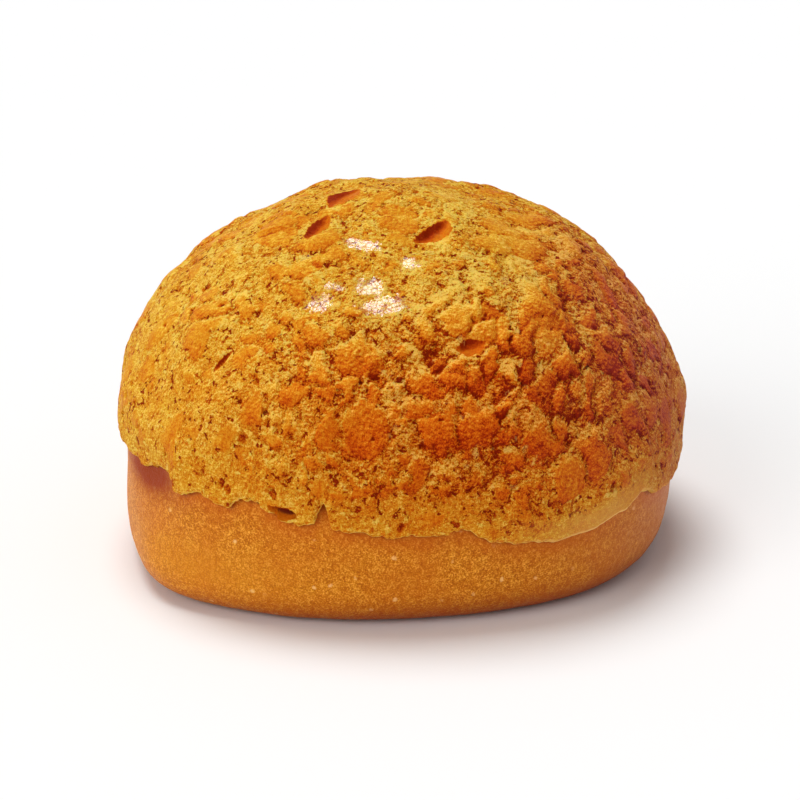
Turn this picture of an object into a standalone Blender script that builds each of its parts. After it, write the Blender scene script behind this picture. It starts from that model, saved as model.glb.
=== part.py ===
"""A pineapple bun: a round bread roll under a thin, cracked topping of cookie dough.

Sizes are in millimetres, and become metres where the meshes are made. Azimuths are in degrees,
from the front (-Y) round towards the right (+X). "down" is the distance in millimetres from the
top of the bread, measured along its surface.
"""

import math

import bmesh
import bpy
import numpy as np
from mathutils import Euler, Matrix, Vector, noise

MM = 0.001

# The bread: a flat base, steep sides with a rounded foot, and a domed top.
WAIST_RADIUS = 46.4
WAIST_HEIGHT = 16.4
BREAD_HEIGHT = 55.9
BASE_SHARE = 0.78  # radius of the flat base, as a share of the waist radius
DOME_POWER = 2.02  # 2 is an ellipse, more is squarer
FOOT_POWER = 4.2
DEPTH_SHARE = 0.96  # front to back, as a share of side to side
AXIS = (-0.6, 0.27)  # where the middle of the rings stands, so that the whole bun is centred

# How far the outline seen from above is from round, fading out towards the top.
OVAL, OVAL_AZIMUTH = 0.045, -50
SQUARE, SQUARE_AZIMUTH = 0.03, 48

# Hollows (and, where the depth is negative, swellings) in the bread's side, which the topping
# follows: azimuth, height, reach sideways, reach up and down, depth.
HOLLOWS = (
    (-55, 21, 7, 4, 1.3),
    (-86, 17, 15, 6, 0.7),
    (-50, 4, 9, 6, -1.6),
    (-24, 3, 12, 7, 0.6),
    (70, 28, 14, 8, 0.4),
    (110, 8, 18, 8, -0.6),
    (160, 14, 20, 9, 0.7),
    (-140, 6, 16, 8, -0.5),
)

# The topping, laid over the bread.
GAP = 0.3
LIP_THICKNESS = 1.3
TOP_THICKNESS = 3.2
THINNING_POWER = 0.6
LIP_ROUNDING = 2.4  # the stretch over which the lip rounds off
LIP_ROUNDED = 0.7  # how much of its thickness that takes off at the very edge

# The topping's lower edge: azimuth and height. It is lobed, high at the left and low at the
# right of the front, with one narrow notch, and steps down past the fold.
EDGE = (
    (-180, 23.0), (-168, 21.2), (-156, 23.6), (-143, 21.8), (-131, 24.0), (-118, 22.0),
    (-105, 23.2), (-92, 21.0), (-80, 21.6), (-66, 20.9), (-59, 20.3), (-50, 21.8),
    (-47.6, 21.4), (-45.5, 19.3), (-40, 20.3), (-33, 19.3), (-30.3, 20.9), (-27, 21.1),
    (-24.5, 19.4), (-21, 18.2), (-16.5, 18.3), (-14.2, 21.4), (-12.2, 17.2), (-7, 17.1),
    (-4, 16.2), (6, 16.2), (12.5, 17.0), (18.5, 14.5), (25, 13.5), (31, 13.0),
    (38, 13.4), (47, 15.2), (52.5, 17.3), (56.5, 16.9), (61, 14.6), (70, 14.0),
    (82, 15.4), (94, 17.0), (106, 19.2), (118, 17.8), (131, 20.6), (143, 19.2),
    (155, 22.0), (168, 20.6),
)

# Where the topping has lifted or torn: azimuth, down, length, width, depth, turn from level.
TEARS = (
    (-69, 9, 6.6, 4.6, 1.0, 120),
    (-47, 17, 7.6, 3.2, 1.3, 116),
    (20, 16.7, 7.4, 4.0, 1.7, 28),
    (17, 39.5, 4.6, 2.6, 1.1, 4),
    (-42, 43.8, 4.6, 1.7, 1.4, 70),
    (150, 26, 6.0, 3.0, 1.6, 35),
    (-130, 37, 5.4, 2.6, 1.5, -20),
    (98, 45, 4.6, 2.2, 1.5, 65),
)

# The half-moon gap in the topping near its edge, which shows the bread.
SLOT_AZIMUTH, SLOT_DOWN = -21.6, 63.8
SLOT_LENGTH, SLOT_WIDTH, SLOT_TURN = 4.2, 1.7, -14
SLOT_REACH = 3.2  # how far it reaches in and out, well past both faces of the topping

# The fold, where the topping laps over itself at the right of the front.
FOLD_AZIMUTH = 55.5
FOLD_HEIGHT = 1.1
FOLD_REACH_BEFORE, FOLD_REACH_PAST = 14, 2  # degrees
FOLD_REACH_UP = 11

# The topping's lumps, from large to small: size and height.
LUMPS = ((14.0, 0.9), (7.0, 0.8))
LUMPS_FADE = 8.0  # the stretch above the lip over which they grow to full height
NOISE_SHIFT = Vector((3.1, 7.7, 1.9))

# Colour (linear red, green and blue) and roughness.
BAKED_BREAD = (0.515, 0.156, 0.016), 0.6
COOKIE_CRUST = (0.597, 0.205, 0.015), 0.4

# How finely the shapes are divided.
SECTION_STEPS = 240
TOPPING_CELLS = 38
BREAD_SEGMENTS = 64
HIDDEN_RINGS, SHOWN_RINGS = 8, 11
SHOWN_FROM = 56  # down; above it the topping covers the bread
TEAR_SEGMENTS, TEAR_RINGS = 12, 8


def section():
    """The bread's section from the top down: radius, height, the lean of its outward direction
    above level, and the way along the surface."""
    steps = np.linspace(math.pi / 2, 0, SECTION_STEPS)
    dome_r = np.cos(steps) ** (2 / DOME_POWER)
    dome_z = WAIST_HEIGHT + (BREAD_HEIGHT - WAIST_HEIGHT) * np.sin(steps) ** (2 / DOME_POWER)
    steps = steps[::-1][1:]
    foot_r = BASE_SHARE + (1 - BASE_SHARE) * np.cos(steps) ** (2 / FOOT_POWER)
    foot_z = WAIST_HEIGHT * (1 - np.sin(steps) ** (2 / FOOT_POWER))
    radius = WAIST_RADIUS * np.concatenate([dome_r, foot_r])
    height = np.concatenate([dome_z, foot_z])
    radius[0] = 0.0
    along = np.concatenate([[0], np.cumsum(np.hypot(np.diff(radius), np.diff(height)))])
    slope = np.arctan2(np.gradient(radius), -np.gradient(height))
    return radius, height, slope, along


RADIUS, HEIGHT, SLOPE, ALONG = section()
FOOT_DOWN = float(ALONG[-1])


def slope_at(down):
    return float(np.interp(down, ALONG, SLOPE))


def past(azimuth, mark):
    """How far an azimuth is past a mark, from -180 to 180."""
    return (azimuth - mark + 180) % 360 - 180


def outline(azimuth, height):
    """How far out the surface is at this azimuth, as a share of the section's radius."""
    low = 1 - height / BREAD_HEIGHT
    oval = OVAL * math.cos(math.radians(2 * (azimuth - OVAL_AZIMUTH)))
    square = SQUARE * math.cos(math.radians(4 * (azimuth - SQUARE_AZIMUTH)))
    return 1 + low * (oval + square)


def hollow(azimuth, height):
    """How far in the surface is pressed there."""
    depth = 0.0
    for at, at_height, reach_round, reach_up, most in HOLLOWS:
        away_round = math.radians(past(azimuth, at)) * WAIST_RADIUS / reach_round
        away_up = (height - at_height) / reach_up
        depth += most * math.exp(-(away_round**2) - away_up**2)
    return depth


def on_bread(azimuth, down, out=0.0):
    """The point on the bread's surface, moved outwards by out."""
    height = float(np.interp(down, ALONG, HEIGHT))
    radius = float(np.interp(down, ALONG, RADIUS))
    radius = radius * outline(azimuth, height) - hollow(azimuth, height) * radius / WAIST_RADIUS
    slope = slope_at(down)
    across = out * math.cos(slope)
    turn = math.radians(azimuth)
    return Vector(
        (
            AXIS[0] + (radius + across) * math.sin(turn),
            AXIS[1] - (radius * DEPTH_SHARE + across) * math.cos(turn),
            height + out * math.sin(slope),
        )
    )


def edge_down(azimuth):
    """How far down the topping's edge is, on smooth curves between the points of EDGE."""
    marks = (*EDGE, (EDGE[0][0] + 360, EDGE[0][1]))
    azimuth = past(azimuth, 0)
    before, after = next(pair for pair in zip(marks, marks[1:]) if pair[1][0] > azimuth)
    share = (azimuth - before[0]) / (after[0] - before[0])
    ease = (1 - math.cos(math.pi * share)) / 2
    height = before[1] + (after[1] - before[1]) * ease
    return float(np.interp(-height, -HEIGHT, ALONG))


def fold(azimuth, to_edge):
    """The raised roll beside the fold, which ends in a step at FOLD_AZIMUTH."""
    away = past(azimuth, FOLD_AZIMUTH)
    away /= FOLD_REACH_BEFORE if away < 0 else FOLD_REACH_PAST
    up = to_edge / FOLD_REACH_UP
    return FOLD_HEIGHT * math.exp(-(up**2) - away**2)


def lumps(point, to_edge):
    """The topping's uneven rises, which fade out towards its edge."""
    height = sum(most * noise.noise(point / size + NOISE_SHIFT) for size, most in LUMPS)
    return height * min(1.0, to_edge / LUMPS_FADE)


def on_topping(azimuth, down):
    """The point on the outside of the topping."""
    lowest = edge_down(azimuth)
    to_edge = lowest - down
    thickness = LIP_THICKNESS + (TOP_THICKNESS - LIP_THICKNESS) * (to_edge / lowest) ** THINNING_POWER
    short = 1 - min(1.0, to_edge / LIP_ROUNDING)
    rounded = LIP_ROUNDED * LIP_THICKNESS * (1 - math.sqrt(1 - short**2))
    bare = on_bread(azimuth, down, GAP + thickness)
    return on_bread(
        azimuth, down, GAP + thickness - rounded + fold(azimuth, to_edge) + lumps(bare, to_edge)
    )


def material(name, colour, roughness):
    made = bpy.data.materials.new(name)
    made.use_nodes = True
    shader = made.node_tree.nodes["Principled BSDF"]
    shader.inputs["Base Color"].default_value = (*colour, 1.0)
    shader.inputs["Roughness"].default_value = roughness
    shader.inputs["Metallic"].default_value = 0.0
    return made


def add_object(name, mesh):
    """Turns a bmesh into an object of that name."""
    data = bpy.data.meshes.new(name)
    mesh.to_mesh(data)
    mesh.free()
    data.shade_smooth()
    made = bpy.data.objects.new(name, data)
    bpy.context.scene.collection.objects.link(made)
    return made


def make_bread():
    """Rings of points from under the topping down to the base, closed by a fan at each end."""
    mesh = bmesh.new()
    downs = [SHOWN_FROM * row / HIDDEN_RINGS for row in range(1, HIDDEN_RINGS)]
    step = (FOOT_DOWN - SHOWN_FROM) / SHOWN_RINGS
    downs += [SHOWN_FROM + step * row for row in range(SHOWN_RINGS + 1)]
    azimuths = [360 * i / BREAD_SEGMENTS for i in range(BREAD_SEGMENTS)]
    rings = [[mesh.verts.new(on_bread(a, down) * MM) for a in azimuths] for down in downs]
    top = mesh.verts.new(on_bread(0, 0) * MM)
    base = mesh.verts.new((AXIS[0] * MM, AXIS[1] * MM, 0))
    for i in range(BREAD_SEGMENTS):
        j = (i + 1) % BREAD_SEGMENTS
        mesh.faces.new((top, rings[0][i], rings[0][j]))
        mesh.faces.new((base, rings[-1][j], rings[-1][i]))
        for upper, lower in zip(rings, rings[1:]):
            mesh.faces.new((upper[i], lower[i], lower[j], upper[j]))
    bmesh.ops.recalc_face_normals(mesh, faces=mesh.faces)
    bread = add_object("bread", mesh)
    bread.data.materials.append(material("baked bread", *BAKED_BREAD))
    return bread


def disc(x, y):
    """Spreads a square from -1 to 1 evenly over a round disc: azimuth and share of the way out."""
    share = max(abs(x), abs(y))
    if share == 0:
        return 0.0, 0.0
    if abs(x) > abs(y):
        return (90 if x > 0 else -90) + 45 * y / x, share
    return (180 if y > 0 else 0) - 45 * x / y, share


def sheet(mesh, place):
    """A grid laid over the bread down to the topping's edge; place(azimuth, down) gives points."""
    grid = bmesh.ops.create_grid(mesh, x_segments=TOPPING_CELLS, y_segments=TOPPING_CELLS, size=1)
    for vert in grid["verts"]:
        azimuth, share = disc(vert.co.x, vert.co.y)
        vert.co = place(azimuth, share * edge_down(azimuth)) * MM
    return grid["verts"]


def make_topping():
    """The outside and the inside of the topping, joined along its lobed edge."""
    mesh = bmesh.new()
    sheet(mesh, on_topping)
    sheet(mesh, lambda azimuth, down: on_bread(azimuth, down, GAP))
    rims = [edge for edge in mesh.edges if edge.is_boundary]
    bmesh.ops.bridge_loops(mesh, edges=rims)
    bmesh.ops.recalc_face_normals(mesh, faces=mesh.faces)
    topping = add_object("topping", mesh)
    topping.data.materials.append(material("cookie crust", *COOKIE_CRUST))
    return topping


def cut(target, name, place, size, azimuth, down, turn):
    """Cuts an ellipsoid out of the target; size is along, across and through the surface."""
    mesh = bmesh.new()
    bmesh.ops.create_uvsphere(mesh, u_segments=TEAR_SEGMENTS, v_segments=TEAR_RINGS, radius=0.5)
    bmesh.ops.scale(mesh, vec=Vector(size) * MM, verts=mesh.verts)
    cutter = add_object(name, mesh)
    lean = Euler((math.pi / 2 - slope_at(down), 0, math.radians(azimuth))).to_matrix().to_4x4()
    in_surface = Matrix.Rotation(math.radians(turn), 4, "Z")
    cutter.matrix_world = Matrix.Translation(place * MM) @ lean @ in_surface
    cutter.hide_render = True
    cutter.display_type = "WIRE"
    modifier = target.modifiers.new(name, "BOOLEAN")
    modifier.operation = "DIFFERENCE"
    modifier.solver = "EXACT"
    modifier.object = cutter


def tear_topping(topping):
    """Cuts the shallow tears, each centred on the topping's outside."""
    for number, (azimuth, down, length, width, depth, turn) in enumerate(TEARS, 1):
        place = on_topping(azimuth, down)
        cut(topping, f"tear {number}", place, (length, width, 2 * depth), azimuth, down, turn)


def open_slot(topping):
    """Cuts the gap near the edge right through the topping."""
    place = on_bread(SLOT_AZIMUTH, SLOT_DOWN, GAP + LIP_THICKNESS / 2)
    size = (SLOT_LENGTH, SLOT_WIDTH, 2 * SLOT_REACH)
    cut(topping, "slot", place, size, SLOT_AZIMUTH, SLOT_DOWN, SLOT_TURN)


def main():
    for old in list(bpy.data.objects):
        bpy.data.objects.remove(old, do_unlink=True)
    make_bread()
    topping = make_topping()
    tear_topping(topping)
    open_slot(topping)


main()
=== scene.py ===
"""The looks of a pineapple bun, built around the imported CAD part.

Both pieces repeat the CAD part's form and add what its solids are too coarse for: the cracked,
crumbly, egg-glazed surface of the topping and the fine skin of the bread. Lengths are in
millimetres and become metres where the meshes are made. Azimuths are in degrees, from the front
(-Y) round towards the right (+X). "down" is the distance from the top of the bread, measured
along its surface.
"""

import math

import bpy
import numpy as np
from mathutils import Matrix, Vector, noise


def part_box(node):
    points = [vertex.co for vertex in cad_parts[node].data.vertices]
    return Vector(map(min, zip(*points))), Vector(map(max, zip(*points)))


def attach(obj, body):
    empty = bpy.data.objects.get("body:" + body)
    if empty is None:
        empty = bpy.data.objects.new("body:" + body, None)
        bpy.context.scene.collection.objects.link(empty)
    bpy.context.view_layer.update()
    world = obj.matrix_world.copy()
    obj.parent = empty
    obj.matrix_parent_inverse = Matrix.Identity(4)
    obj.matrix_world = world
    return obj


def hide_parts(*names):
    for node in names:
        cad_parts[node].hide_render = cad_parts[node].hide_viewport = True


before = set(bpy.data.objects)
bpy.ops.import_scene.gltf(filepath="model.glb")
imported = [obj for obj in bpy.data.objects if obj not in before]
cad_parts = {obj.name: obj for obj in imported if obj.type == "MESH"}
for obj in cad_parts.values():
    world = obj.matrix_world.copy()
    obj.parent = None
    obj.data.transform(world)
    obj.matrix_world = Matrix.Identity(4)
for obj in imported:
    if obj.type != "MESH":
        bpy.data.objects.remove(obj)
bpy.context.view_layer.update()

MM = 0.001
noise.seed_set(4)  # without a seed, noise_vector() differs from run to run

# The bread's form, as in the CAD part.
BREAD_LOW, BREAD_HIGH = (np.array(corner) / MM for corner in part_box("bread"))
BREAD_HEIGHT = BREAD_HIGH[2] - BREAD_LOW[2]
WAIST_RADIUS = 46.4
WAIST_HEIGHT = 16.4
BASE_SHARE = 0.78
DOME_POWER = 2.02
FOOT_POWER = 4.2
DEPTH_SHARE = 0.96
AXIS = (-0.6, 0.27)
OVAL, OVAL_AZIMUTH = 0.045, -50
SQUARE, SQUARE_AZIMUTH = 0.03, 48
HOLLOWS = (
    (-55, 21, 7, 4, 1.3),
    (-86, 17, 15, 6, 0.7),
    (-50, 4, 9, 6, -1.6),
    (-24, 3, 12, 7, 0.6),
    (70, 28, 14, 8, 0.4),
    (110, 8, 18, 8, -0.6),
    (160, 14, 20, 9, 0.7),
    (-140, 6, 16, 8, -0.5),
)

# The topping's form, as in the CAD part.
GAP = 0.3
LIP_THICKNESS = 1.3
TOP_THICKNESS = 3.2
THINNING_POWER = 0.6
LIP_ROUNDING = 1.3
EDGE = (
    (-180, 23.0), (-168, 21.2), (-156, 23.6), (-143, 21.8), (-131, 24.0), (-118, 22.0),
    (-105, 23.2), (-92, 21.0), (-80, 21.6), (-66, 20.9), (-59, 20.3), (-50, 21.8),
    (-47.6, 21.4), (-45.5, 19.3), (-40, 20.3), (-33, 19.3), (-30.3, 20.9), (-27, 21.1),
    (-24.5, 19.4), (-21, 18.2), (-16.5, 18.3), (-14.2, 21.4), (-12.2, 17.2), (-7, 17.1),
    (-4, 16.2), (6, 16.2), (12.5, 17.0), (18.5, 14.5), (25, 13.5), (31, 13.0),
    (38, 13.4), (47, 15.2), (52.5, 17.3), (56.5, 16.9), (61, 14.6), (70, 14.0),
    (82, 15.4), (94, 17.0), (106, 19.2), (118, 17.8), (131, 20.6), (143, 19.2),
    (155, 22.0), (168, 20.6),
)
FOLD_AZIMUTH = 55.5
FOLD_HEIGHT = 1.1
FOLD_REACH_BEFORE, FOLD_REACH_PAST = 14, 1.2
FOLD_REACH_UP = 11
LUMPS = ((14.0, 0.9), (7.0, 0.8))  # size, rise
LUMPS_FADE = 8.0
NOISE_SHIFT = Vector((3.1, 7.7, 1.9))

# What the render shows and the CAD part is too coarse for.
RAGGED = ((2.6, 0.3), (1.2, 0.5), (0.7, 0.3))  # the edge's small lobes: size, reach
EVEN_AZIMUTH, EVEN_REACH = 41, 13  # where the edge has few of them
BAND_AZIMUTH, BAND_REACH = 42, 13  # where the topping above it has stayed smooth
DULL_AZIMUTH, DULL_REACH = 74, 28  # where its colour is duller
RIM_STEP = 0.25
RIM_WINDOW = 81  # in steps: the topping's rows follow the rim evened out over this much
RIM_POWER = 6  # how late they turn from that to the rim itself
LEAST_OUT = 0.12  # what the deepest tear leaves between the topping's outside and the bread
UNDER_GAP = 0.08  # between its underside and the bread
UNDER_INSET = 0.4

# What shows on the bread: azimuth, height, reach round in degrees, reach up, amount.
# Painted shade in the hollow under the topping's lifted edge, with a tail just below that edge.
HOLLOW_SHADE = (-56, 19.4, 8, 2.8, 1.0)
HOLLOW_SHADE_TAIL = (-66, 0, 9, 3, 0.6)  # measured down from the topping's edge instead
GOLDEN_SIDE = (-38, 8, 24, 5, 1.0)
FOOT_BROWN = 6.5  # how far up its foot is browner
BREAD_BUMPS = ((7.0, 0.10, 1.0), (2.2, 0.05, 2.0))  # size, rise, shift
BUMPS_START, BUMPS_FULL = 52, 60  # down from the top
BUMPS_FADE = 3.0  # above the foot

# Torn and lifted places, pointed at both ends: azimuth, down, length, width, depth, turn from
# level, bend.
TEARS = (
    (-69, 9, 7.2, 5.4, 0.7, 120, 0.2),
    (-47, 17, 8.8, 3.6, 1.2, 116, 0.2),
    (20, 16.7, 8.2, 4.0, 1.7, 28, 0.4),
    (17, 39.5, 4.8, 3.0, 1.1, 4, 0.2),
    (-42, 43.8, 4.6, 1.3, 1.2, 70, 0.0),
    (-21.8, 64.4, 5.2, 2.2, 4.0, -12, 0.8),
    (150, 26, 6.0, 3.0, 1.4, 35, 0.3),
    (-130, 37, 5.4, 2.6, 1.3, -20, 0.2),
    (98, 45, 4.6, 2.2, 1.3, 65, 0.2),
)

# Where the glaze lies thick in smooth patches: azimuth, down, length, width, turn.
PATCHES = (
    (54, 22.6, 10, 7, -20),
    (38, 36.7, 8.5, 8, 30),
    (22, 35.7, 8, 7, -50),
    (-7.5, 41.2, 5.5, 5, 20),
    (-60, 22, 8, 5, 25),
    (-33, 26, 7, 4, 30),
    (120, 30, 9, 7, 15),
    (-150, 25, 8, 6, -30),
    (175, 44, 8, 7, 40),
)

# Where the glaze is wet and smooth enough to shine: azimuth, down, length, width, turn.
SHINES = (
    (-16.5, 19.5, 6.6, 2.4, -8),
    (4.2, 23.1, 3.6, 2.8, -40),
    (-9.5, 28.0, 4.0, 4.2, 0),
    (-4.0, 31.6, 7.6, 3.4, 14),
    (-22.8, 32.1, 4.0, 3.6, -30),
    (-20, 28.9, 3.2, 1.6, 5),
    (-36.2, 24.3, 1.8, 1.4, 0),
    (34.8, 28.9, 2.2, 1.6, 20),
    (150, 22, 6.0, 3.0, 20),
)

# How far the topping has broken into glazed plates: azimuth, down, reach round in degrees,
# reach down, amount. The rest is plain crumb.
BROKEN = (
    (25, 42, 60, 24, 1.0),
    (80, 34, 44, 24, 0.75),
    (0, 8, 120, 22, 0.55),
    (-45, 30, 50, 18, 0.5),
    (150, 36, 50, 24, 0.9),
    (-130, 34, 50, 22, 0.8),
)

# How much yellower (or, below 0, redder) the topping is baked: the same five numbers.
GOLDEN = (
    (-60, 34, 50, 26, 0.12),
    (-25, 55, 30, 10, 0.04),
    (0, 0, 180, 18, 0.08),
    (50, 18, 34, 12, 0.26),
    (12, 30, 40, 10, 0.13),
    (40, 17.6, 15, 3.2, -0.28),
    (14, 54, 44, 11, -0.17),
    (66, 42, 34, 17, -0.14),
    (150, 42, 40, 20, -0.06),
    (-130, 40, 40, 20, 0.04),
)

# Where it has browned to a redder colour: the same five numbers.
RUDDY = (
    (24, 50, 50, 15, 1.0),
    (70, 38, 24, 18, 0.8),
    (160, 44, 50, 16, 0.6),
)

# The plates and the crumb between them.
PLATE_SIZES = (5.8, 3.6)
PLATE_STRETCH = 1.25  # plates are taller than they are wide
PLATE_BENDS = ((6.0, 1.8), (1.7, 0.9))  # what bends their borders: size and reach
PLATE_LEAST, PLATE_RISE = 0.06, 0.62  # how far they bulge, and how much more when fully broken
PLATE_STEP = 0.35  # how far neighbours may stand above each other
CRUMB_BUMPS = ((2.0, 0.2, 1.0), (1.15, 0.2, 2.0), (0.8, 0.13, 4.0))  # size, rise, shift
PATCH_RISE = 0.2
PIT_SPACING, PIT_DEPTH = 2.3, 0.4
SLIT_SPACING, SLIT_DEPTH, SLIT_STRETCH = 4.2, 0.5, 1.7
CRACK_DEPTH = 0.4
RISE_LIMIT = 0.6  # beyond this, a rise or a slope changes the colour no further

# How fine the meshes are.
CELLS = 304
UNDER_STEP = 8  # how many of the rim's vertices share one of the coarse underside
UNDER_RINGS = 9
BREAD_SEGMENTS = 288
BREAD_RINGS = 96
RING_POWER = 0.7  # brings the bread's rings closer together towards its foot
SECTION_STEPS = 240
EVENING_ROUNDS = 12
FAR = 3.0  # further from a tear or a patch than anything looks


def section():
    """The bread's section from the top down: radius, height, outward slope and way along."""
    steps = np.linspace(math.pi / 2, 0, SECTION_STEPS)
    dome_r = np.cos(steps) ** (2 / DOME_POWER)
    dome_z = WAIST_HEIGHT + (BREAD_HEIGHT - WAIST_HEIGHT) * np.sin(steps) ** (2 / DOME_POWER)
    steps = steps[::-1][1:]
    foot_r = BASE_SHARE + (1 - BASE_SHARE) * np.cos(steps) ** (2 / FOOT_POWER)
    foot_z = WAIST_HEIGHT * (1 - np.sin(steps) ** (2 / FOOT_POWER))
    radius = WAIST_RADIUS * np.concatenate([dome_r, foot_r])
    height = np.concatenate([dome_z, foot_z])
    radius[0] = 0.0
    along = np.concatenate([[0], np.cumsum(np.hypot(np.diff(radius), np.diff(height)))])
    slope = np.arctan2(np.gradient(radius), -np.gradient(height))
    return radius, height, slope, along


RADIUS, HEIGHT, SLOPE, ALONG = section()
FOOT_DOWN = float(ALONG[-1])


def past(azimuth, mark):
    """How many degrees an azimuth is past a mark, from -180 to 180."""
    return (azimuth - mark + 180) % 360 - 180


def smooth(low, high, value):
    """From 0 at low to 1 at high, level at both ends."""
    share = np.clip((value - low) / (high - low), 0, 1)
    return share * share * (3 - 2 * share)


def outline(azimuth, height):
    """How far the bun's plan is from round, least at its top."""
    low = 1 - height / BREAD_HEIGHT
    oval = OVAL * np.cos(np.radians(2 * (azimuth - OVAL_AZIMUTH)))
    square = SQUARE * np.cos(np.radians(4 * (azimuth - SQUARE_AZIMUTH)))
    return 1 + low * (oval + square)


def hollow(azimuth, height):
    """How deep the broad hollows in the bread's side are, and below 0 where it bulges."""
    depth = np.zeros_like(height)
    for at, at_height, reach_round, reach_up, most in HOLLOWS:
        away_round = np.radians(past(azimuth, at)) * WAIST_RADIUS / reach_round
        away_up = (height - at_height) / reach_up
        depth += most * np.exp(-(away_round**2) - away_up**2)
    return depth


def on_bread(azimuth, down, out):
    """Points on the bread's surface, moved outwards by out."""
    height = np.interp(down, ALONG, HEIGHT)
    radius = np.interp(down, ALONG, RADIUS)
    radius = radius * outline(azimuth, height) - hollow(azimuth, height) * radius / WAIST_RADIUS
    slope = np.interp(down, ALONG, SLOPE)
    across = out * np.cos(slope)
    turn = np.radians(azimuth)
    return np.stack(
        [
            AXIS[0] + (radius + across) * np.sin(turn),
            AXIS[1] - (radius * DEPTH_SHARE + across) * np.cos(turn),
            height + out * np.sin(slope),
        ],
        axis=-1,
    )


def perlin(points, size, shift=0.0):
    """Blender's own noise, about -1 to 1, with bumps of that size."""
    return np.array([noise.noise(Vector(p)) for p in points / size + NOISE_SHIFT + shift])


def layered(points, layers):
    """Noise of several sizes added up, each layer with its size, its rise and maybe a shift."""
    return sum(rise * perlin(points, size, *shift) for size, rise, *shift in layers)


def drift(points, size, most):
    """The points, each moved up to about most by smooth noise of that size."""
    return points + most * np.array([noise.noise_vector(Vector(p)) for p in points / size])


def cells(points, size, shift=0.0):
    """Voronoi cells: the way to the middle and to the border, a number for each cell from 0 to 1,
    and how far above the cell's middle a point lies, in cells."""
    middle, border, number, above = np.empty((4, len(points)))
    for i, point in enumerate(points / size + shift):
        (near, second, _, _), (site, _, _, _) = noise.voronoi(Vector(point))
        middle[i] = near * size
        border[i] = (second - near) * size
        number[i] = 0.5 + 0.5 * noise.cell(site * 97.3)
        above[i] = point[2] - site.z
    return middle, border, number, above


def edge_down(azimuth):
    """How far down the topping's edge is, on smooth curves between the points of EDGE."""
    marks = np.array([*EDGE, (EDGE[0][0] + 360, EDGE[0][1])])
    azimuth = past(azimuth, 0)
    i = np.clip(np.searchsorted(marks[:, 0], azimuth, side="right") - 1, 0, len(EDGE) - 1)
    share = (azimuth - marks[i, 0]) / (marks[i + 1, 0] - marks[i, 0])
    height = marks[i, 1] + (marks[i + 1, 1] - marks[i, 1]) * (1 - np.cos(np.pi * share)) / 2
    down = np.interp(-height, -HEIGHT, ALONG)
    rim = on_bread(azimuth, down, np.zeros_like(down))
    ragged = 1 - 0.8 * np.exp(-((past(azimuth, EVEN_AZIMUTH) / EVEN_REACH) ** 2))
    return down + ragged * layered(rim, RAGGED)


def fold(azimuth, to_edge):
    """How far the lip is pushed out where it folds."""
    away = past(azimuth, FOLD_AZIMUTH)
    away = away / np.where(away < 0, FOLD_REACH_BEFORE, FOLD_REACH_PAST)
    return FOLD_HEIGHT * np.exp(-((to_edge / FOLD_REACH_UP) ** 2) - away**2)


def spot(azimuth, down, at, at_down, length, width, turn):
    """The place along and across a tilted patch of the surface, each from -1 to 1 within it."""
    radius = np.interp(at_down, ALONG, RADIUS)
    x = np.radians(past(azimuth, at)) * radius
    y = at_down - down
    c, s = math.cos(math.radians(turn)), math.sin(math.radians(turn))
    return (x * c + y * s) * 2 / length, (y * c - x * s) * 2 / width


def regions(azimuth, level, marks):
    """The amounts of broad soft regions, one value for each. The level is down, or a height."""
    amounts = []
    for at, at_level, reach_round, reach_along, most in marks:
        away = (past(azimuth, at) / reach_round) ** 2 + ((level - at_level) / reach_along) ** 2
        amounts.append(most * np.exp(-away))
    return np.array(amounts)


def disc(count):
    """A square grid spread evenly over a round disc: azimuth and share of the way out."""
    line = np.linspace(-1, 1, count + 1)
    x, y = (side.ravel() for side in np.meshgrid(line, line))
    share = np.maximum(abs(x), abs(y))
    wide = abs(x) > abs(y)
    safe = np.where(share == 0, 1, np.where(wide, x, y))
    azimuth = np.where(
        wide,
        np.where(x > 0, 90, -90) + 45 * y / safe,
        np.where(y > 0, 180, 0) - 45 * x / safe,
    )
    return azimuth, share


def tears(azimuth, down, ragged):
    """How far a point is from the nearest tear, 1 at its outline, how deep it is there, and
    which side of the tear it is on, from -1 at the lower side to 1 at the upper."""
    nearest = np.full_like(down, FAR)
    depth = np.zeros_like(down)
    side = np.zeros_like(down)
    for at, at_down, length, width, most, turn, bend in TEARS:
        along, across = spot(azimuth, down, at, at_down, length, width, turn)
        across = across - bend * along**2
        away = along**2 + abs(across) + ragged
        side = np.where(away < nearest, np.clip(across, -1, 1), side)
        nearest = np.minimum(nearest, away)
        floor = 0.55 + 0.45 * np.clip(across, -1, 1)
        depth = np.maximum(depth, most * floor * (1 - smooth(0.25, 1.0, away)))
    return nearest, depth, side


def ovals(azimuth, down, marks):
    """How far a point is from the middle of the nearest of these ovals, 1 at its outline."""
    nearest = np.full_like(down, FAR)
    for mark in marks:
        nearest = np.minimum(nearest, np.hypot(*spot(azimuth, down, *mark)))
    return nearest


def evened(values):
    """The grid's values, each the average of those around it."""
    rows = values.reshape(CELLS + 1, CELLS + 1)
    for axis in (0, 1):
        for _ in range(EVENING_ROUNDS):
            rows = (rows + np.roll(rows, 1, axis) + np.roll(rows, -1, axis)) / 3
    return rows.ravel()


def upward(values, share, level):
    """How fast the grid's values grow from the top of the topping towards its edge, per mm."""
    line = np.linspace(-1, 1, CELLS + 1)
    along_y, along_x = np.gradient(values.reshape(CELLS + 1, CELLS + 1), line, line)
    x, y = np.meshgrid(line, line)
    outward = x * along_x + y * along_y
    return outward.ravel() / np.maximum(share * level, 1.0)


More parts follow.
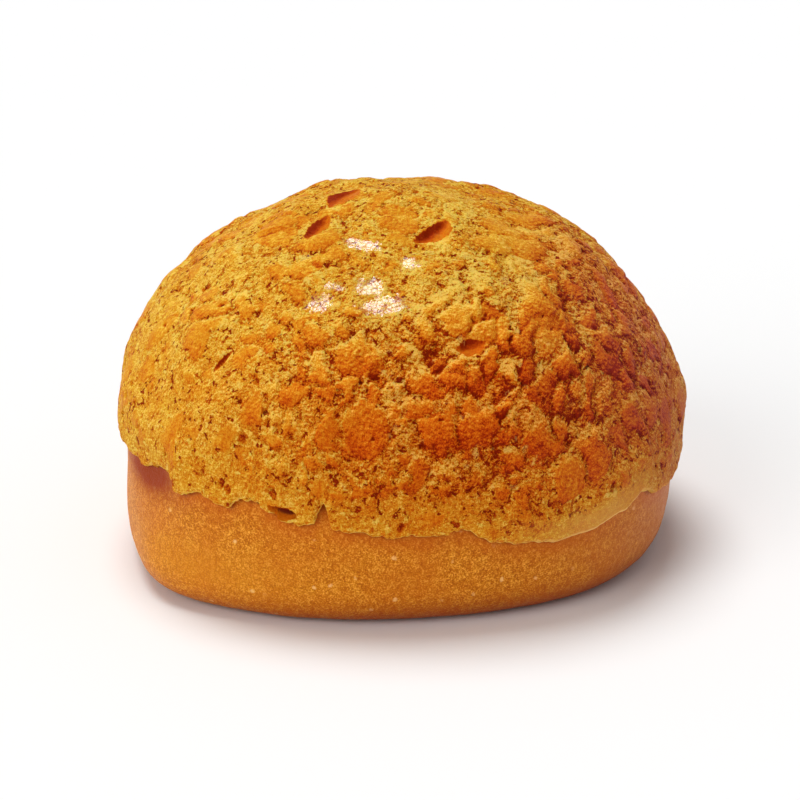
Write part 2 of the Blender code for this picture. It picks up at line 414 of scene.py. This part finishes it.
def plates(bare, wide):
    """Bulging plates with crumb between them: how far inside one a point lies (below 0 outside and
    over 1 well inside), their height, the cracks between them, and how far above a plate's middle
    a point lies."""
    moved = bare
    for size, reach in PLATE_BENDS:
        moved = drift(moved, size, reach)
    moved[:, 2] /= PLATE_STRETCH
    layers = [cells(moved, size, size)[1:] for size in PLATE_SIZES]
    small = perlin(bare, 9.0, 12.0) > 0.12
    border, number, above = (np.where(small, fine, broad) for broad, fine in zip(*layers))

    # The crumb between the plates is wider in places, and takes up some cells whole.
    gap = 0.05 + 0.7 * smooth(0.1, 0.8, perlin(bare, 3.6, 3.0)) + 0.6 * (1 - wide)
    gap += np.where(number > 0.97 - 0.5 * (1 - wide), 2.0, 0)
    ragged = border + 0.6 * perlin(bare, 2.3, 9.0) + 0.45 * perlin(bare, 1.2, 7.0)
    plate = (ragged - gap) / (1.0 + 1.5 * smooth(-0.2, 0.4, above))

    # A plate's border is soft at the top and sharp at the bottom, where its crack is deepest.
    bulge = np.sqrt(np.clip((ragged - 0.6 * gap) / 2.8, 0, 1))
    height = (PLATE_LEAST + PLATE_RISE * wide) * bulge
    height = height + PLATE_STEP * wide * (number - 0.5) * np.clip(plate, 0, 1)
    crack = 1 - smooth(0.05, 0.45, border + 0.3 * perlin(bare, 1.1, 6.0))
    crack *= 0.3 + 0.7 * smooth(0.25, -0.2, above)
    return plate, height, crack, above


def pits(bare, wide, inner):
    """Small round pits, nearly all of them in the crumb: 1 at their middles."""
    at, _, number, _ = cells(drift(bare, 1.2, 0.5), PIT_SPACING, 11.0)
    radius = 0.25 + 0.9 * np.maximum(number - 0.45, 0)
    pit = 1 - smooth(radius * 0.5, radius * 1.3, at)
    return pit * (np.where(number > 0.9 - 0.1 * wide, 1, 0) * (1 - 0.8 * inner))


def slits(bare, patch):
    """Short gaps in the topping, wider than they are tall: 1 at their middles."""
    moved = drift(bare, 3.0, 0.8)
    moved[:, 2] *= SLIT_STRETCH
    at, _, number, _ = cells(moved, SLIT_SPACING, 31.0)
    return (1 - smooth(0.25, 0.7, at)) * np.where(number > 0.6, 1, 0) * (1 - 0.6 * patch)


def surface(azimuth, share, down, to_edge, bare):
    """The topping's height above its plain form, and its masks for the material."""
    wide = regions(azimuth, down, BROKEN).max(axis=0)
    wide = np.clip(wide + 0.2 * perlin(bare, 8, 5.0), 0, 1) * smooth(1, 9, to_edge)
    band = np.exp(-(((azimuth - BAND_AZIMUTH) / BAND_REACH) ** 2)) * smooth(5.5, 2.5, to_edge)
    wide *= 1 - band
    calm = smooth(0, 2.2, to_edge) * (1 - 0.7 * band)
    coarse, middle, fine = bumps = [perlin(bare, size, shift) for size, _, shift in CRUMB_BUMPS]
    crumb = sum(rise * bump for (_, rise, _), bump in zip(CRUMB_BUMPS, bumps))

    plate, height, crack, above = plates(bare, wide)
    gloss = ovals(azimuth, down, SHINES) + 0.3 * middle
    wet = 1 - smooth(0.8, 1.4, gloss)
    patch = 1 - smooth(0.8, 1.1, ovals(azimuth, down, PATCHES) + 0.3 * coarse)
    plate = np.clip(np.maximum(plate, 2.6 * patch - 0.8), -1, 2) * calm - (1 - calm)
    inner = np.clip(plate, 0, 1)
    lively = (1 - 0.65 * inner) * (0.4 + 0.6 * wide) * (1 - 0.7 * wet)
    height = height * (1 - 0.8 * wet) + lively * crumb + PATCH_RISE * patch
    crack *= smooth(-0.15, 0.35, perlin(bare, 3.4, 8.0)) * (0.25 + 0.75 * wide)

    tear, tear_depth, tear_side = tears(azimuth, down, 0.2 * middle + 0.14 * fine)
    holes = (pits(bare, wide, inner), crack, slits(bare, patch))
    pit, crack, slit = (hole * (1 - wet) for hole in holes)
    height -= PIT_DEPTH * pit + CRACK_DEPTH * crack + SLIT_DEPTH * slit
    height = height * calm * smooth(0.8, 1.7, tear) - tear_depth

    # The tone runs from 0, the darkest brown, to 1, the palest gold. Painted shade lowers it in
    # hollows and painted light raises it on rises.
    rise = np.clip(height - evened(height), -RISE_LIMIT, RISE_LIMIT)
    # Painted light where the surface slopes up towards the light, painted shade where it slopes down.
    painted_slope_light = np.clip(upward(height, share, down + to_edge), -RISE_LIMIT, RISE_LIMIT) * calm
    tone = 0.64 - 0.02 * wide + regions(azimuth, down, GOLDEN).sum(axis=0)
    # Painted light on the upper part of each plate and painted shade on its lower part.
    painted_crown_light = 0.34 * wide * inner * np.clip(above, -RISE_LIMIT, RISE_LIMIT)
    tone += 0.24 * rise + 0.34 * painted_slope_light + painted_crown_light
    # A painted highlight in a thin ring round each tear.
    tone += 0.16 * np.exp(-(((tear - 1.15) / 0.2) ** 2))
    masks = {
        "tone": tone,
        "plate": plate,  # from -1 in the crumb to 2 well inside a plate
        "above": above,
        "broken": wide,
        "band": band,
        "dull": np.exp(-((past(azimuth, DULL_AZIMUTH) / DULL_REACH) ** 2)) * smooth(15, 50, down),
        "ruddy": regions(azimuth, down, RUDDY).max(axis=0) * (1 - band),
        # Painted shade in the pits, cracks and slits.
        "cavity_shade": np.maximum(pit, np.maximum(crack, slit)) * calm,
        "tear": tear,  # 1 at a tear's outline, less inside it
        "deep": tear_depth,
        "wall": tear_side,
        "gloss": gloss,  # 1 at the outline of a wet patch, less inside it
        "edge": to_edge,
    }
    return height, masks


def topping_arrays():
    """The outside of the topping on its grid, from the top to its edge and round the lip."""
    azimuth, share = disc(CELLS)
    around = np.arange(0, 360, RIM_STEP)
    rim = edge_down(around)
    level = np.convolve(np.tile(rim, 3), np.full(RIM_WINDOW, 1 / RIM_WINDOW), "same")
    level = level[len(rim) : 2 * len(rim)]
    lowest = np.interp(azimuth, around, rim, period=360)
    level = np.interp(azimuth, around, level, period=360)
    down = share * level + share**RIM_POWER * (lowest - level)
    to_edge = lowest - down
    thickness = LIP_THICKNESS + (TOP_THICKNESS - LIP_THICKNESS) * (1 - share) ** THINNING_POWER
    bare = on_bread(azimuth, down, GAP + thickness)
    lumps = layered(bare, LUMPS) * np.minimum(1, to_edge / LUMPS_FADE)
    height, masks = surface(azimuth, share, down, to_edge, bare)
    short = 1 - np.minimum(1, to_edge / LIP_ROUNDING)
    rounded = LIP_THICKNESS * 0.8 * (1 - np.sqrt(1 - short**2))
    out = GAP + thickness - rounded + fold(azimuth, to_edge) + lumps + height
    outside = on_bread(azimuth, down, np.maximum(out, LEAST_OUT))
    return azimuth, lowest, outside, masks


def grid_faces(count):
    """The faces of a square grid with that many along a side."""
    row = np.arange(count)
    corner = (row[:, None] * (count + 1) + row[None, :]).ravel()
    return np.stack([corner, corner + 1, corner + count + 2, corner + count + 1], axis=1)


def boundary(count):
    """The grid's outer vertices in order round it."""
    side = count + 1
    first = np.arange(count)
    return np.concatenate(
        [first, first * side + count, side * side - 1 - first, (count - first) * side]
    )


def ring_faces(start, count, rings):
    """The faces between rings of count vertices each, whose first vertex is start."""
    faces = []
    for first in range(start, start + (rings - 1) * count, count):
        for i in range(count):
            j = (i + 1) % count
            faces.append((first + i, first + count + i, first + count + j, first + j))
    return faces


def fan_faces(hub, ring):
    """The faces between one vertex and a ring of them."""
    return list(zip([hub] * len(ring), ring, [*ring[1:], ring[0]]))


def make_mesh(name, points, faces, masks):
    """A smooth piece from points in millimetres, with a mask's value for each of its first ones."""
    mesh = bpy.data.meshes.new(name)
    mesh.from_pydata((points * MM).tolist(), [], faces)
    mesh.validate()
    for mask, values in masks.items():
        attribute = mesh.attributes.new(mask, "FLOAT", "POINT")
        full = np.zeros(len(points), np.float32)
        full[: len(values)] = values
        attribute.data.foreach_set("value", full)
    mesh.shade_smooth()
    made = bpy.data.objects.new(name, mesh)
    bpy.context.scene.collection.objects.link(made)
    return made


def make_topping():
    """A closed shell: the fine outside, and a coarse underside that lies on the bread."""
    azimuth, lowest, outside, masks = topping_arrays()
    rim = boundary(CELLS)
    coarse = rim[::UNDER_STEP]
    count = len(coarse)
    under = np.full(count, UNDER_GAP)
    shares = 1 - np.arange(UNDER_RINGS) / UNDER_RINGS
    rings = [on_bread(azimuth[coarse], lowest[coarse] * s - UNDER_INSET, under) for s in shares]
    pole = on_bread(np.zeros(1), np.zeros(1), under[:1])

    faces = [tuple(face) for face in grid_faces(CELLS)]
    start = len(outside)
    for i in range(count):
        here, after = start + i, start + (i + 1) % count
        edge = [rim[(i * UNDER_STEP + k) % len(rim)] for k in range(UNDER_STEP + 1)]
        faces += [(here, edge[k + 1], edge[k]) for k in range(UNDER_STEP)]
        faces.append((here, after, edge[-1]))
    faces += ring_faces(start, count, UNDER_RINGS)
    last = start + (UNDER_RINGS - 1) * count
    faces += fan_faces(last + count, range(last + count - 1, last - 1, -1))
    return make_mesh("crackled_topping", np.concatenate([outside, *rings, pole]), faces, masks)


def bread_masks(azimuth, down, height):
    """Painted shade in the hollow under the topping's lifted edge and below that edge, where the
    bread is browned at its foot, and where it is more golden.
    """
    under = np.maximum(down - edge_down(azimuth), 0)
    hollow_shade, golden = regions(azimuth, height, (HOLLOW_SHADE, GOLDEN_SIDE))
    return {
        "hollow_shade": hollow_shade + regions(azimuth, under, (HOLLOW_SHADE_TAIL,))[0],
        "under": under,
        "foot": 1 - smooth(0.0, FOOT_BROWN, height),
        "side": np.sin(np.radians(azimuth)),
        "golden": golden,
    }


def make_bread():
    """Rings from the top to the foot, closed by a fan at each end."""
    azimuths = 360 * np.arange(BREAD_SEGMENTS) / BREAD_SEGMENTS
    downs = FOOT_DOWN * (np.arange(1, BREAD_RINGS + 1) / BREAD_RINGS) ** RING_POWER
    azimuth, down = (side.ravel() for side in np.meshgrid(azimuths, downs))
    plain = on_bread(azimuth, down, np.zeros_like(down))
    shown = smooth(BUMPS_START, BUMPS_FULL, down)
    shown = shown * (1 - smooth(FOOT_DOWN - BUMPS_FADE, FOOT_DOWN, down))
    points = on_bread(azimuth, down, layered(plain, BREAD_BUMPS) * shown)
    points[:, 2] = np.maximum(points[:, 2], 0)  # none below the ground
    ends = np.array([[*AXIS, BREAD_HEIGHT], [*AXIS, 0.0]])
    top, base = len(points), len(points) + 1
    faces = ring_faces(0, BREAD_SEGMENTS, BREAD_RINGS)
    faces += fan_faces(top, range(BREAD_SEGMENTS))
    faces += fan_faces(base, range(top - 1, top - 1 - BREAD_SEGMENTS, -1))
    masks = bread_masks(azimuth, down, plain[:, 2])
    return make_mesh("bread_roll", np.concatenate([points, ends]), faces, masks)


class Amount:
    """A number that a shader works out at each point, for formulas with +, - and *."""

    def __init__(self, nodes, socket):
        self.nodes = nodes
        self.socket = socket

    def __add__(self, other):
        return self.nodes.math("ADD", self, other)

    def __sub__(self, other):
        return self.nodes.math("SUBTRACT", self, other)

    def __rsub__(self, other):
        return self.nodes.math("SUBTRACT", other, self)

    def __mul__(self, other):
        return self.nodes.math("MULTIPLY", self, other)


class Nodes:
    """A material's node tree, with a short way to write it."""

    def __init__(self, name):
        self.material = bpy.data.materials.new(name)
        self.material.use_nodes = True
        self.tree = self.material.node_tree
        self.shader = self.tree.nodes["Principled BSDF"]
        self.place = self.tree.nodes.new("ShaderNodeTexCoord").outputs["Object"]
        self.masks = {}

    def add(self, kind, inputs=None, **settings):
        node = self.tree.nodes.new(kind)
        for key, value in settings.items():
            setattr(node, key, value)
        for key, value in (inputs or {}).items():
            self.give(node.inputs[key], value)
        return node

    def give(self, socket, value):
        """Sets a socket, or links it to what an amount or another socket gives."""
        if isinstance(value, Amount):
            value = value.socket
        if isinstance(value, bpy.types.NodeSocket):
            self.tree.links.new(value, socket)
        else:
            socket.default_value = value

    def set(self, **inputs):
        """Gives the shader's own inputs, whose names have _ for each space."""
        for name, value in inputs.items():
            self.give(self.shader.inputs[name.replace("_", " ")], value)

    def mask(self, name):
        """One of the mesh's masks."""
        if name not in self.masks:
            node = self.add("ShaderNodeAttribute", attribute_name=name)
            self.masks[name] = Amount(self, node.outputs["Fac"])
        return self.masks[name]

    def math(self, operation, a, b=0.0, clamp=False):
        node = self.add("ShaderNodeMath", {0: a, 1: b}, operation=operation, use_clamp=clamp)
        return Amount(self, node.outputs[0])

    def scaled(self, vector, scale, plus):
        """A vector times a scale for each axis, plus another vector."""
        inputs = {0: vector, 1: scale, 2: plus}
        node = self.add("ShaderNodeVectorMath", inputs, operation="MULTIPLY_ADD")
        return node.outputs["Vector"]

    def noise(self, size, detail=3.0, roughness=0.55, stretch=1.0, shift=(0, 0, 0)):
        """Noise from 0 to 1, with bumps of that size in millimetres, drawn out upwards or moved."""
        place = self.place
        if stretch != 1.0 or any(shift):
            place = self.scaled(place, (1, 1, 1 / stretch), [part * MM for part in shift])
        inputs = {"Vector": place, "Scale": 1 / (size * MM), "Detail": detail, "Roughness": roughness}
        return Amount(self, self.add("ShaderNodeTexNoise", inputs).outputs["Fac"])

    def wobbled(self, size, most):
        """The place, moved about by noise of that size."""
        inputs = {"Vector": self.place, "Scale": 1 / (size * MM), "Detail": 3.0, "Roughness": 0.6}
        shift = self.add("ShaderNodeTexNoise", inputs).outputs["Color"]
        return self.scaled(shift, (most * MM,) * 3, self.place)

    def winding(self, size, width):
        """Thin winding lines: 1 along them, 0 between."""
        away = self.math("ABSOLUTE", self.noise(size, 2.0, 0.5) - 0.5)
        return self.span(away, 0.0, width, 1.0, 0.0)

    def cells(self, size, place):
        """Voronoi cells: the way to the middle as a share of the size, and a number for each."""
        cell = self.add("ShaderNodeTexVoronoi", {"Vector": place, "Scale": 1 / (size * MM)})
        number = self.add("ShaderNodeSeparateColor", {"Color": cell.outputs["Color"]})
        return Amount(self, cell.outputs["Distance"]), Amount(self, number.outputs["Red"])

    def walls(self, size, place):
        """The walls between the same cells: the way to the nearest one as a share of the size."""
        inputs = {"Vector": place, "Scale": 1 / (size * MM)}
        wall = self.add("ShaderNodeTexVoronoi", inputs, feature="DISTANCE_TO_EDGE")
        return Amount(self, wall.outputs["Distance"])

    def span(self, value, low, high, to_low=0.0, to_high=1.0):
        """From to_low at low to to_high at high, level at both ends."""
        inputs = {"Value": value, "From Min": low, "From Max": high}
        inputs |= {"To Min": to_low, "To Max": to_high}
        node = self.add("ShaderNodeMapRange", inputs, interpolation_type="SMOOTHSTEP")
        return Amount(self, node.outputs["Result"])

    def mix(self, share, first, second, blend="MIX"):
        inputs = {"Fac": share, "Color1": first, "Color2": second}
        return self.add("ShaderNodeMixRGB", inputs, blend_type=blend).outputs["Color"]

    def ramp(self, value, *stops):
        node = self.add("ShaderNodeValToRGB", {"Fac": value})
        elements = node.color_ramp.elements
        elements.remove(elements[1])
        elements[0].position, elements[0].color = stops[0]
        for position, colour in stops[1:]:
            elements.new(position).color = colour
        return node.outputs["Color"]

    def bump(self, height, distance):
        """Relief that is too fine for the mesh, distance millimetres for each 1 of height."""
        inputs = {"Height": height, "Distance": distance * MM, "Strength": 1.0}
        self.set(Normal=self.add("ShaderNodeBump", inputs).outputs["Normal"])

    def glow(self):
        """Light enters the crumb and comes out warmer, which reddens its shadows."""
        self.set(
            Subsurface_Weight=0.4,
            Subsurface_Radius=(1.0, 0.35, 0.08),
            Subsurface_Scale=0.6 * MM,
        )


def rgb(red, green, blue):
    """A colour as it looks on screen, 0 to 255, as the linear colour that a shader takes."""
    linear = [
        c / 12.92 if c <= 0.04045 else ((c + 0.055) / 1.055) ** 2.4
        for c in (red / 255, green / 255, blue / 255)
    ]
    return (*linear, 1.0)


UPWARDS = (-0.04, 0.07, 0.11)  # a short way up the topping and towards the light


class ToppingLook(Nodes):
    """The topping's material: glazed plates, the crumb between them, torn places and wet glaze."""

    def __init__(self):
        super().__init__("crackled topping")
        over, below = (
            self.noise(0.55, 4.0, 0.66, shift=[way * part for part in UPWARDS]) for way in (1, -1)
        )
        self.uneven = (over + below) * 0.5 - 0.5
        self.grain = self.noise(0.2, 1.0, 0.7) - 0.5
        self.ragged = self.mask("plate") + self.uneven * 1.9
        self.plate = self.span(self.ragged, 0.0, 0.8)
        self.crumb = 1.0 - self.plate
        self.rugged = self.span(self.mask("broken"), 0.1, 0.9, 0.5, 1.15)
        # Painted light and shade, like an emboss lit from above: the relief below minus the relief
        # above.
        self.painted_emboss = (below - over) * self.rugged
        self.lay_crumb()
        self.colour()
        self.shine()
        relief = (self.uneven + self.lace * 0.8) * self.shared(0.35, 1.0) + self.grain * 0.4
        relief = relief * self.span(self.mask("gloss"), 0.7, 1.3, 1.2, 1.0)
        self.bump(relief * self.span(self.mask("tear"), 0.7, 1.1, 0.5, 1.0), 0.5)

    def shared(self, on_plates, in_crumb):
        """One amount on the plates and another in the crumb between them."""
        return self.span(self.crumb, 0.1, 0.9, on_plates, in_crumb)

    def lay_crumb(self):
        """Winding ridges and furrows, small holes, pale specks and short ragged cracks."""
        ridge = self.winding(0.75, 0.04)
        furrow = self.winding(1.15, 0.045) * self.span(self.noise(1.9, 2.0), 0.42, 0.56)
        place = self.wobbled(1.0, 2.2)
        number = self.cells(1.0, place)[1]
        wall = self.walls(1.0, place)
        hole = self.span(number, 0.04, 0.10, 1.0, 0.0) * self.span(wall, 0.0, 0.22)
        self.speck = self.span(number, 0.91, 0.94) * self.span(wall, 0.05, 0.25)
        tick = self.span(self.walls(2.3, self.wobbled(1.0, 1.7)), 0.05, 0.12, 1.0, 0.0)
        tick = tick * self.span(self.noise(1.2, 2.0), 0.585, 0.62)
        tick = tick * self.span(self.mask("edge"), 2.0, 4.0)
        # In the tone, painted light on the ridges and painted shade in the furrows, holes and cracks.
        lace = (ridge * 0.24 - furrow * 0.34) * self.rugged
        lace = lace + self.speck * 0.35 - hole * 0.5 - tick * 0.75
        self.lace = lace * (self.crumb * self.span(self.mask("band"), 0.0, 1.0, 1.0, 0.2))

    def tone(self):
        """From 0, the darkest brown, to 1, the palest gold."""
        edge = self.mask("edge")
        streak = (self.noise(0.6, 4.0, 0.7, stretch=4.0) - 0.5) * self.plate
        # Painted light along the top of each plate's border and painted shade along its bottom.
        border = self.span(self.ragged, -0.4, 0.0) * self.span(self.ragged, 0.2, 0.9, 1.0, 0.0)
        border = border * self.span(self.mask("above"), -0.3, 0.3, -0.34, 0.28) * self.mask("broken")
        mottle = self.noise(3.2, 3.0, 0.6) - 0.5
        tone = self.mask("tone") + streak * 0.6
        tone = tone + self.grain * self.shared(0.5, 0.9)
        # Painted light on the sides of the relief that face the light, painted shade on the others.
        tone = tone + self.painted_emboss * self.shared(1.3, 2.2)
        tone = tone + border
        # Painted light on the fine bumps and painted shade in the hollows between them.
        tone = tone + self.uneven * self.shared(0.6, 0.9)
        tone = tone + mottle * 0.6 - self.plate * 0.13 + self.lace
        # Painted shade in the pits, cracks and slits.
        tone = tone - self.span(self.mask("cavity_shade"), 0.1, 0.9, 0.0, 0.44)

        # The lip gets a painted highlight, and a painted shadow line where it meets the bread.
        tone = tone + self.span(edge, 0.1, 0.5, 0.35, 0.0) - self.span(edge, 0.02, 0.12, 0.8, 0.0)

        # Torn places show softer dough, with painted light at their lower side and painted shade at
        # their upper.
        torn = self.span(self.mask("tear") + self.uneven * 0.5, 0.85, 1.0, 1.0, 0.0)
        flesh = (self.painted_emboss + self.uneven) * 0.5
        flesh = flesh + self.span(self.mask("wall"), -0.3, 0.7, 0.42, -0.06)
        return tone * (1.0 - torn) + flesh * torn

    def colour(self):
        """Brown with painted shade in the cracks to pale gold with painted light on the crests,
        redder, duller or paler in places.
        """
        band, dull = self.mask("band"), self.mask("dull")
        colour = self.ramp(
            self.tone(),
            (0.00, rgb(146, 38, 6)),
            (0.20, rgb(188, 74, 10)),
            (0.40, rgb(210, 107, 14)),
            (0.60, rgb(222, 143, 27)),
            (0.80, rgb(233, 176, 50)),
            (1.00, rgb(250, 210, 94)),
        )
        # Painted shade deep in the deepest tears.
        colour = self.mix(self.span(self.mask("deep"), 1.5, 2.3, 0.0, 0.85), colour, rgb(92, 26, 20))
        colour = self.mix(self.mask("ruddy"), colour, (1.04, 0.74, 0.75, 1.0), "MULTIPLY")
        colour = self.mix(dull, colour, (0.84, 0.70, 1.0, 1.0), "MULTIPLY")
        colour = self.mix(dull, colour, (0.0, 0.008, 0.022, 1.0), "ADD")
        colour = self.mix(band * 0.65, colour, rgb(226, 162, 80))
        # A painted highlight along the lip below the smooth band.
        rim = band * self.span(self.mask("edge"), 0.6, 1.0, 0.75, 0.0)
        colour = self.mix(rim, colour, rgb(252, 208, 126))
        pale = self.speck * self.crumb * self.span(self.mask("broken"), 0.2, 0.9, 0.0, 0.3)
        self.set(Base_Color=self.mix(pale, colour, rgb(252, 204, 112)))
        self.glow()

    def shine(self):
        """Wet glaze shines white in broken patches, and the rest is satin."""
        wet = self.span(self.mask("gloss") + self.uneven * 3.0, 0.85, 1.05, 1.0, 0.0)
        wet = wet * self.span(self.walls(0.75, self.wobbled(1.0, 0.6)), 0.04, 0.14, 0.2, 1.0)
        self.set(
            Roughness=self.shared(0.48, 0.60) - wet * 0.18,
            Specular_IOR_Level=0.04,
            Specular_Tint=(1.0, 0.5, 0.1, 1.0),
            Coat_Weight=wet,
            Coat_Roughness=0.18,
            Coat_IOR=1.8,
        )


class BreadLook(Nodes):
    """The bread's material: a fine matt skin with pale flecks, browner at its foot."""

    def __init__(self):
        super().__init__("baked bread")
        fine = (self.noise(0.26, 2.0, 0.6) - 0.5) * self.span(self.mask("side"), 0.2, 0.9, 1.1, 0.75)
        skin = self.noise(0.8, 4.0, 0.6)
        tone = skin * 0.6 + fine
        self.set(
            Base_Color=self.browned_and_shaded(self.flecked(tone)),
            Roughness=self.span(skin, 0.3, 0.7, 0.58, 0.48),
            Specular_IOR_Level=0.35,
            Specular_Tint=(1.0, 0.6, 0.2, 1.0),
        )
        self.glow()
        self.bump(tone, 0.1)

    def flecked(self, tone):
        """The plain skin, cloudy, more golden in one place, and sprinkled with pale flecks."""
        cloud = self.noise(9.0, 3.0, 0.5)
        colour = self.ramp(
            tone,
            (0.08, rgb(170, 76, 6)),
            (0.30, rgb(208, 120, 18)),
            (0.52, rgb(248, 180, 62)),
        )
        colour = self.mix(self.span(cloud, 0.35, 0.65, 0.0, 0.35), colour, rgb(202, 100, 12))
        colour = self.mix(self.mask("golden") * 0.4, colour, rgb(222, 146, 28))
        at, number = self.cells(3.2, self.wobbled(0.9, 1.0))
        fleck = self.span(at, 0.06, 0.16, 1.0, 0.0) * self.span(number, 0.35, 0.65, 0.0, 0.8)
        return self.mix(fleck, colour, rgb(250, 200, 120))

    def browned_and_shaded(self, colour):
        """Browner towards the right and at the foot, with painted shade below the topping's edge, a
        darker painted shadow line right at it, and painted shade in the hollow under its lifted edge.
        """
        side, under = self.mask("side"), self.mask("under")
        foot = self.mask("foot") * self.span(side, -0.9, 0.1, 0.45, 0.85)
        # Painted shade in the hollow under the topping's lifted edge.
        hollow_shade = self.math("MULTIPLY", self.mask("hollow_shade"), 1.3, clamp=True)
        colour = self.mix(self.span(side, 0.3, 1.0, 0.0, 0.45), colour, rgb(176, 84, 34))
        colour = self.mix(foot, colour, rgb(150, 54, 14))
        # Painted shade below the topping's edge, and a darker painted shadow line right at it.
        colour = self.mix(self.span(under, 0.0, 4.0, 0.5, 0.0), colour, rgb(190, 78, 6))
        colour = self.mix(self.span(under, 0.0, 0.7, 0.6, 0.0), colour, rgb(150, 56, 4))
        return self.mix(hollow_shade, colour, rgb(160, 54, 0))


def finish_piece(piece, node, material):
    """The piece rides and counts in place of its CAD node."""
    piece.data.materials.append(material)
    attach(piece, "root")
    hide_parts(node)


def dress_node(node, material):
    """The CAD node isn't shown, but carries the same material as what stands for it."""
    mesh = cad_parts[node].data
    mesh.materials.clear()
    mesh.materials.append(material)


def light_up(name, azimuth, elevation, strength, width):
    """A broad soft light from far off, all of whose rays come from within that many degrees."""
    data = bpy.data.lights.new(name, "SUN")
    data.energy = strength
    data.angle = math.radians(width)
    light = bpy.data.objects.new(name, data)
    turn, rise = math.radians(azimuth), math.radians(elevation)
    level = math.cos(rise)
    source = Vector((math.sin(turn) * level, -math.cos(turn) * level, math.sin(rise)))
    light.rotation_euler = source.to_track_quat("Z", "Y").to_euler()
    bpy.context.scene.collection.objects.link(light)


def studio_world():
    """Soft light from all round, with a bright horizon that runs on from the floor."""
    world = bpy.data.worlds.new("studio")
    world.use_nodes = True
    nodes, links = world.node_tree.nodes, world.node_tree.links
    way = nodes.new("ShaderNodeSeparateXYZ")
    fade = nodes.new("ShaderNodeMapRange")
    links.new(nodes.new("ShaderNodeTexCoord").outputs["Generated"], way.inputs["Vector"])
    links.new(way.outputs["Z"], fade.inputs["Value"])
    for key, value in {"From Min": 0.1, "From Max": 0.16, "To Min": 1.0, "To Max": 0.33}.items():
        fade.inputs[key].default_value = value
    nodes["Background"].inputs["Color"].default_value = (1, 1, 1, 1)
    links.new(fade.outputs["Result"], nodes["Background"].inputs["Strength"])
    return world


FLOOR_REACH = 6.0  # in metres
FLOOR_GREYS = (0.92, 0.93)


def make_floor():
    corners = ((-1, -1), (1, -1), (1, 1), (-1, 1))
    mesh = bpy.data.meshes.new("floor")
    mesh.from_pydata([(x * FLOOR_REACH, y * FLOOR_REACH, 0) for x, y in corners], [], [(0, 1, 2, 3)])
    floor = bpy.data.objects.new("floor", mesh)
    bpy.context.scene.collection.objects.link(floor)
    n = Nodes("pale floor")
    greys = ((grey, grey, grey, 1) for grey in FLOOR_GREYS)
    n.set(Base_Color=n.mix(n.noise(300.0), *greys), Roughness=0.9)
    mesh.materials.append(n.material)


def make_studio():
    make_floor()
    bpy.context.scene.world = studio_world()
    light_up("key", azimuth=-146, elevation=74, strength=1.95, width=34)
    light_up("fill", azimuth=-46, elevation=30, strength=1.0, width=40)
    bpy.context.scene.view_settings.view_transform = "Standard"


CAMERA_AIM = Vector((-0.55, 0, 22.8)) * MM
CAMERA_ELEVATION = 20
CAMERA_DISTANCE = 450 * MM
CAMERA_LENS = 121
CAMERA_SENSOR = 36


def make_camera():
    data = bpy.data.cameras.new("camera")
    data.lens = CAMERA_LENS
    data.sensor_width = CAMERA_SENSOR
    camera = bpy.data.objects.new("camera", data)
    elevation = math.radians(CAMERA_ELEVATION)
    back = Vector((0, -math.cos(elevation), math.sin(elevation)))
    camera.location = CAMERA_AIM + back * CAMERA_DISTANCE
    camera.rotation_euler = (-back).to_track_quat("-Z", "Y").to_euler()
    bpy.context.scene.collection.objects.link(camera)
    bpy.context.scene.camera = camera


topping_look = ToppingLook().material
bread_look = BreadLook().material
finish_piece(make_topping(), "topping", topping_look)
finish_piece(make_bread(), "bread", bread_look)
dress_node("topping", topping_look)
dress_node("bread", bread_look)
make_studio()
make_camera()
